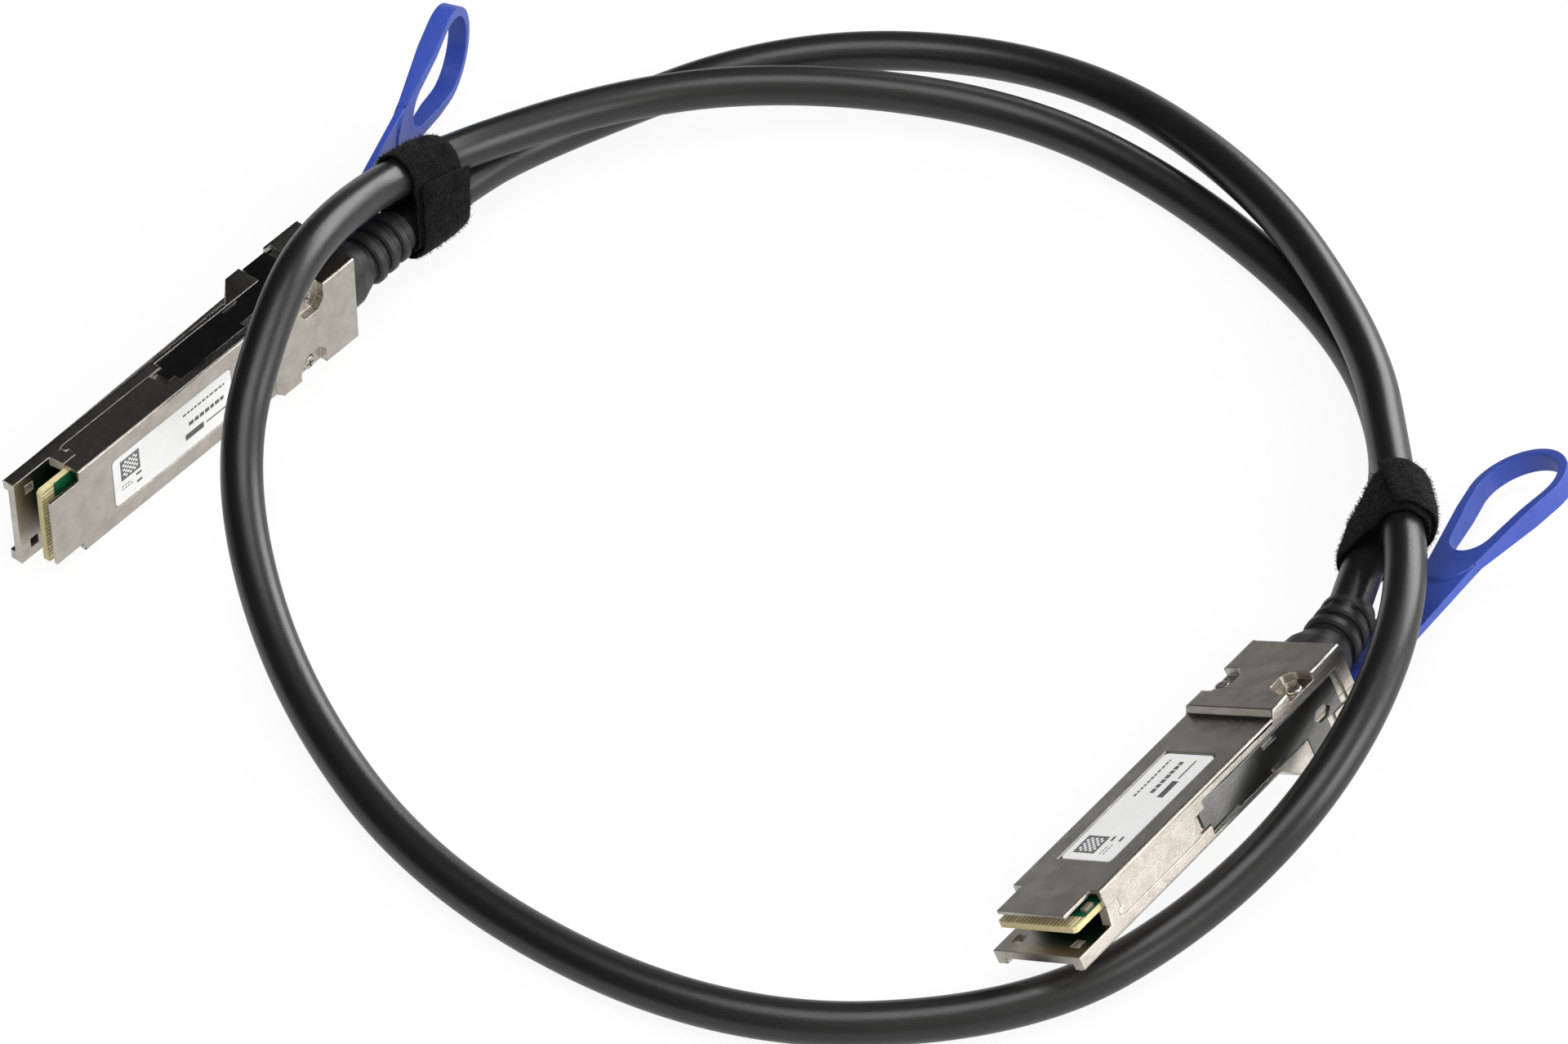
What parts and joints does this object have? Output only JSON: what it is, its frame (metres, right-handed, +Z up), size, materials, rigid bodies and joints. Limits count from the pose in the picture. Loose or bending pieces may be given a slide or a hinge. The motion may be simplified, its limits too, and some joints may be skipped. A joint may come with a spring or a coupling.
{
  "type": "direct attach copper cable",
  "caption": "Coiled copper network cable with a die-cast card-edge plug, sprung latch and blue pull tab at each end, held by two straps.",
  "frame": {"origin": "on the surface that the cable lies on, under the middle of the two plugs and their pull tabs", "axes": "+Z up, +Y from the right plug to the left plug, +X from the left plug's nose to its cable"},
  "size_m": [0.2148, 0.2293, 0.0323],
  "materials": {
    "cast_shell": "satin nickel-plated zinc casting with a fine grain",
    "latch_steel": "polished stainless strip",
    "card_laminate": "green solder mask over laminate",
    "contact_pads": "bright gold plating",
    "card_parts": "moulded black chip and grey ceramic",
    "pair_shield": "foil wrap",
    "inner_mould": "dull hot-melt moulding",
    "crimp_ring": "drawn brass",
    "screw_steel": "bright zinc plate",
    "label_film": "matt white film, bare",
    "boot_rubber": "matt black moulding",
    "spring_wire": "drawn spring wire",
    "tab_plastic": "semi-gloss royal blue moulding",
    "cable_jacket": "satin black jacket with faint scuffs",
    "tie_fabric": "black napped hook-and-loop strap"
  },
  "bodies": {
    "cable_assembly": {"left_upper_shell": "cast_shell", "left_lower_shell": "cast_shell", "left_paddle_card": "card_laminate", "left_card_pads": "contact_pads", "left_card_parts": "card_parts", "left_signal_pairs": "pair_shield", "left_inner_mould": "inner_mould", "left_crimp_ring": "crimp_ring", "left_cover_screws": "screw_steel", "left_label": "label_film", "left_strain_boot": "boot_rubber", "left_latch_springs": "spring_wire", "right_upper_shell": "cast_shell", "right_lower_shell": "cast_shell", "right_paddle_card": "card_laminate", "right_card_pads": "contact_pads", "right_card_parts": "card_parts", "right_signal_pairs": "pair_shield", "right_inner_mould": "inner_mould", "right_crimp_ring": "crimp_ring", "right_cover_screws": "screw_steel", "right_label": "label_film", "right_strain_boot": "boot_rubber", "right_latch_springs": "spring_wire", "cable": "cable_jacket", "left_tie": "tie_fabric", "right_tie": "tie_fabric"},
    "left_latch": {"left_latch_slide": "latch_steel", "left_pull_tab": "tab_plastic"},
    "right_latch": {"right_latch_slide": "latch_steel", "right_pull_tab": "tab_plastic"}
  },
  "joints": [
    {"name": "left_latch_pull", "type": "slide", "parent": "cable_assembly", "child": "left_latch", "axis": [1, 0, 0], "range_m": [0, 0.0016], "stiffness_N_per_m": 800, "springref_m": -0.002, "deforming": ["left_latch_springs"]},
    {"name": "right_latch_pull", "type": "slide", "parent": "cable_assembly", "child": "right_latch", "axis": [0.999, 0.0291, -0.0335], "range_m": [0, 0.0016], "stiffness_N_per_m": 800, "springref_m": -0.002, "deforming": ["right_latch_springs"]}
  ]
}
